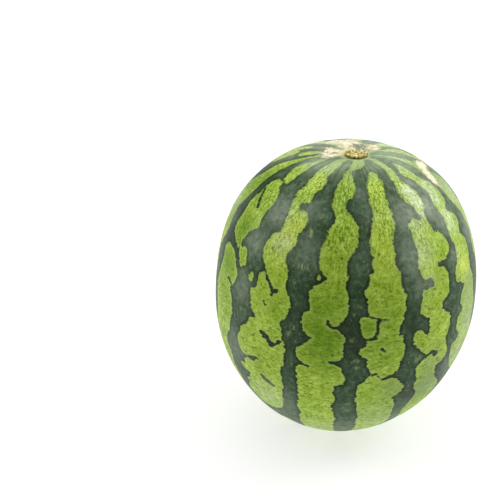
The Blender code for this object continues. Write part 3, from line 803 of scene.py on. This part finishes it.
def pale_board():
    """Lit white acrylic: a plain pale table top that glows a little, so that the shadow stays soft."""
    material, add = new_material("Lit white acrylic")
    place = add("TexCoord", {}, out="Object")
    cloud = add("TexNoise", {"Vector": place, "Scale": 6.0, "Detail": 2.0})
    colour = add("Mix", {0: cloud, 6: linear("#b4b4b4"), 7: linear("#b6b6b6")}, data_type="RGBA")
    shader = add(
        "BsdfPrincipled",
        {
            "Base Color": colour,
            "Roughness": 0.9,
            "Specular IOR Level": 0.1,
            "Emission Color": linear("#ffffff"),
            "Emission Strength": 0.69,
        },
    )
    add("OutputMaterial", {"Surface": shader})
    return material


# Pieces


def new_primitive(operator, name, **size):
    """Adds a primitive with nothing else selected, and returns its object under a plain name."""
    bpy.ops.object.select_all(action="DESELECT")
    operator(location=(0, 0, 0), **size)
    made = bpy.context.object
    made.name = name
    made.data.name = name
    return made


def mesh_points(piece):
    """A mesh's points as an array."""
    flat = np.empty(len(piece.data.vertices) * 3)
    piece.data.vertices.foreach_get("co", flat)
    return flat.reshape(-1, 3)


def set_mesh_points(piece, points):
    """Moves a mesh's points to new places."""
    piece.data.vertices.foreach_set("co", np.ascontiguousarray(points, float).ravel())
    piece.data.update()


def paint(piece, name, values):
    """Stores one number, or one vector, for each of a mesh's points."""
    vector = np.ndim(values) == 2
    layer = piece.data.attributes.new(name, "FLOAT_VECTOR" if vector else "FLOAT", "POINT")
    flat = np.ascontiguousarray(values, np.float32).ravel()
    layer.data.foreach_set("vector" if vector else "value", flat)


def make_rind():
    """The whole rind, from the seat under the stem's stub to the blossom scar."""
    ball_size = {"segments": RIND_SEGMENTS, "ring_count": RIND_RINGS, "radius": 1}
    rind = new_primitive(bpy.ops.mesh.primitive_uv_sphere_add, "rind", **ball_size)
    ball = mesh_points(rind)
    turn = np.arctan2(ball[:, 0], -ball[:, 1])
    share = np.arccos(ball[:, 2].clip(-1, 1)) / math.pi
    down = END_DOWN * (share + MIDDLE_CLOSENESS * np.sin(2 * math.pi * share) / (2 * math.pi))
    points = rind_points(turn, down)
    low, high = points.min(axis=0), points.max(axis=0)
    middle = (np.array(fruit_low) + np.array(fruit_high)) / 2
    points += [middle[0] - (low[0] + high[0]) / 2, middle[1] - (low[1] + high[1]) / 2, fruit_low[2] - low[2]]
    set_mesh_points(rind, points)

    degrees = np.degrees(turn)
    girth = GIRTH_RADIUS * 1000
    paint(rind, "grain_mm", np.stack([girth * np.sin(turn), -girth * np.cos(turn), down], axis=1))
    paint(rind, "light_mm", light_field(degrees, down))
    scar_mm = down - END_DOWN + BLOSSOM_SCAR_RADIUS * 1000
    paint(rind, "cork_mm", np.maximum(patch_field(CORK_PATCHES, degrees, down), scar_mm))
    for name, patches in (
        ("wax_and_sheen", WAX_AND_SHEEN_PATCHES),
        ("deep_and_shade", DEEP_AND_SHADED_PATCHES),
        ("bright", BRIGHT_PATCHES),
        ("dull_and_shade", DULL_AND_SHADED_PATCHES),
        ("faint", FAINT_FLECKS),
    ):
        paint(rind, name, soft_patches(patches, degrees, down))
    bpy.ops.object.shade_smooth()
    rind.data.materials.append(waxy_rind())
    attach(rind, "root")
    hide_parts("fruit")


def stub_spot(angle, away, height):
    """A point of the stub from its turn in radians and its shares of the half-width and of the height."""
    low, high = np.array(stub_low), np.array(stub_high)
    middle = (low + high) / 2
    half = (high - low) / 2
    return np.stack(
        [
            middle[0] + half[0] * away * np.sin(angle),
            middle[1] - half[1] * away * np.cos(angle),
            low[2] + (high[2] - low[2]) * height,
        ],
        axis=-1,
    )


SPLINTERS = 54
SPLINTER_TURN = 2.4  # radians from one splinter to the next, near the golden angle


def make_stub():
    """The dried stub: a torn, sunken button of fibrous cork with splinters standing on it."""
    stub = new_primitive(
        bpy.ops.mesh.primitive_uv_sphere_add, "stem_cork", segments=160, ring_count=80, radius=1
    )
    ball = mesh_points(stub)
    turn = np.arctan2(ball[:, 0], -ball[:, 1])
    share = np.arccos(ball[:, 2].clip(-1, 1)) / math.pi
    # Share of the way from the top's middle to the root's, share of the half-width, share of the height.
    outline = np.array(
        [
            (0, 0, 0.5),
            (0.15, 0.3, 0.4),
            (0.3, 0.62, 0.55),
            (0.42, 0.84, 0.8),
            (0.5, 0.96, 0.78),
            (0.58, 0.97, 0.6),
            (0.66, 0.86, 0.42),
            (0.75, 0.8, 0.3),
            (0.9, 0.78, 0),
            (1, 0, 0),
        ]
    )
    away = np.interp(share, outline[:, 0], outline[:, 1])
    height = np.interp(share, outline[:, 0], outline[:, 2])
    torn = smooth_step(0.05, 0.3, share) * (1 - smooth_step(0.6, 0.75, share))
    stray = np.empty(len(turn))
    pit_and_shade = np.empty(len(turn))
    for count, (angle, reach) in enumerate(zip(turn, away)):
        spot = Vector((math.sin(angle) * reach, math.cos(angle) * reach, share[count]))
        broad = noise.noise(spot * 3.1 + Vector((5, 0, 0)))
        fine = noise.noise(spot * 7 + Vector((0, 9, 0)))
        grit = noise.noise(spot * 15)
        stray[count] = 0.4 * broad + 0.45 * fine + 0.35 * grit
        pit_and_shade[count] = max(0.0, -fine - 0.1) * 4.5 + max(0.0, -broad - 0.3) * 2
    away = away * (1 + 0.3 * torn * stray)
    height = (height + 0.75 * torn * stray).clip(0, 0.97)
    set_mesh_points(stub, stub_spot(turn, away, height))
    # The pits darken the stub's hollows as painted shade, and its raised fibres are lightened as painted
    # highlight.
    paint(stub, "pit_and_shade", (pit_and_shade * torn).clip(0, 1))
    paint(stub, "pale_and_highlight", (0.8 * smooth_step(0.15, 0.45, stray) * torn).clip(0, 1))
    bpy.ops.object.shade_smooth()

    rng = random.Random(11)
    splinters = []
    for number in range(SPLINTERS):
        angle = SPLINTER_TURN * number + rng.uniform(-0.4, 0.4)
        reach = rng.uniform(0.3, 0.97)
        length = rng.uniform(0.0011, 0.0024)
        width = rng.uniform(0.0003, 0.00055)
        splinter = new_primitive(
            bpy.ops.mesh.primitive_uv_sphere_add, "splinter", segments=8, ring_count=8, radius=1
        )
        points = mesh_points(splinter)
        along = points[:, 2].copy()
        slim = width * (1 - 0.5 * along) / 1.2
        lie = rng.uniform(0, 2 * math.pi)
        rise = rng.uniform(0.05, 0.5)
        ahead = np.array([math.cos(lie) * math.cos(rise), math.sin(lie) * math.cos(rise), math.sin(rise)])
        side = np.array([-math.sin(lie), math.cos(lie), 0.0])
        up = np.cross(ahead, side)
        curl = 0.25 * length * along**2
        points = (
            np.outer(length * along, ahead)
            + np.outer(points[:, 0] * slim, side)
            + np.outer(points[:, 1] * slim + curl, up)
        )
        seat = np.interp(reach, [0, 0.5, 0.84, 1], [0.42, 0.5, 0.72, 0.62])
        points += stub_spot(angle, reach * 0.9, seat)
        set_mesh_points(splinter, points)
        paint(splinter, "pit_and_shade", np.full(len(points), 0.0))
        paint(splinter, "pale_and_highlight", np.full(len(points), rng.choice((0.1, 0.4, 0.9))))
        bpy.ops.object.shade_smooth()
        splinters.append(splinter)
    bpy.ops.object.select_all(action="DESELECT")
    for piece in [*splinters, stub]:
        piece.select_set(True)
    bpy.context.view_layer.objects.active = stub
    bpy.ops.object.join()
    points = mesh_points(stub)
    set_mesh_points(stub, points.clip(np.array(stub_low) - 0.0001, np.array(stub_high) + 0.0001))
    stub.data.materials.append(torn_cork())
    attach(stub, "root")
    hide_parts("stem_stub")


# Stage


def make_floor():
    """The plain pale ground."""
    floor = new_primitive(bpy.ops.mesh.primitive_plane_add, "floor", size=30)
    floor.data.materials.append(pale_board())


def add_soft_light(name, place, aim, width, height, watts):
    """A rectangular soft box of white light, pointed at a place."""
    light = bpy.data.lights.new(name, "AREA")
    light.shape = "RECTANGLE"
    light.size = width
    light.size_y = height
    light.energy = watts
    box = bpy.data.objects.new(name, light)
    box.location = place
    box.rotation_euler = (Vector(aim) - Vector(place)).to_track_quat("-Z", "Y").to_euler()
    bpy.context.scene.collection.objects.link(box)


def light_stage():
    """Soft studio light: a very broad box above, one at the right and a weaker one at the left."""
    world = bpy.data.worlds.new("Studio walls")
    world.use_nodes = True
    world.node_tree.nodes["Background"].inputs["Color"].default_value = linear("#ffffff")
    world.node_tree.nodes["Background"].inputs["Strength"].default_value = 0.1
    bpy.context.scene.world = world
    aim = (0, 0, 0.13)
    add_soft_light("above", (0, 0.7, 2.0), (0, 0.5, 0), 3.6, 3.2, 54)
    add_soft_light("right", (1.5, 0.45, 1.1), aim, 1.0, 1.0, 18)
    add_soft_light("left", (-1.5, 0.3, 1.1), aim, 1.0, 1.0, 8)
    bpy.context.scene.view_settings.view_transform = "Standard"


def add_camera():
    """The photograph's camera: level to the sides, looking along +Y and down."""
    pixels = FRAME_PIXELS * LENS_MM / SENSOR_MM
    across = (RING_PIXEL[0] - FRAME_PIXELS / 2) / pixels
    below = (RING_PIXEL[1] - FRAME_PIXELS / 2) / pixels
    ahead = Vector((0, math.cos(CAMERA_PITCH), -math.sin(CAMERA_PITCH)))
    down = Vector((0, -math.sin(CAMERA_PITCH), -math.cos(CAMERA_PITCH)))
    rest_share = (REST_RADIUS / GIRTH_RADIUS) ** BASE_FULLNESS
    ring_height = BASE_DEPTH * (1 - rest_share) ** (1 / BASE_FULLNESS)
    ring_middle = Vector((0, 0, ring_height))
    data = bpy.data.cameras.new("camera")
    data.lens = LENS_MM
    data.sensor_width = SENSOR_MM
    camera = bpy.data.objects.new("camera", data)
    camera.location = ring_middle - RING_DISTANCE * (ahead + across * Vector((1, 0, 0)) + below * down)
    camera.rotation_euler = (math.pi / 2 - CAMERA_PITCH, 0, 0)
    bpy.context.scene.collection.objects.link(camera)
    bpy.context.scene.camera = camera


make_rind()
make_stub()
make_floor()
light_stage()
add_camera()
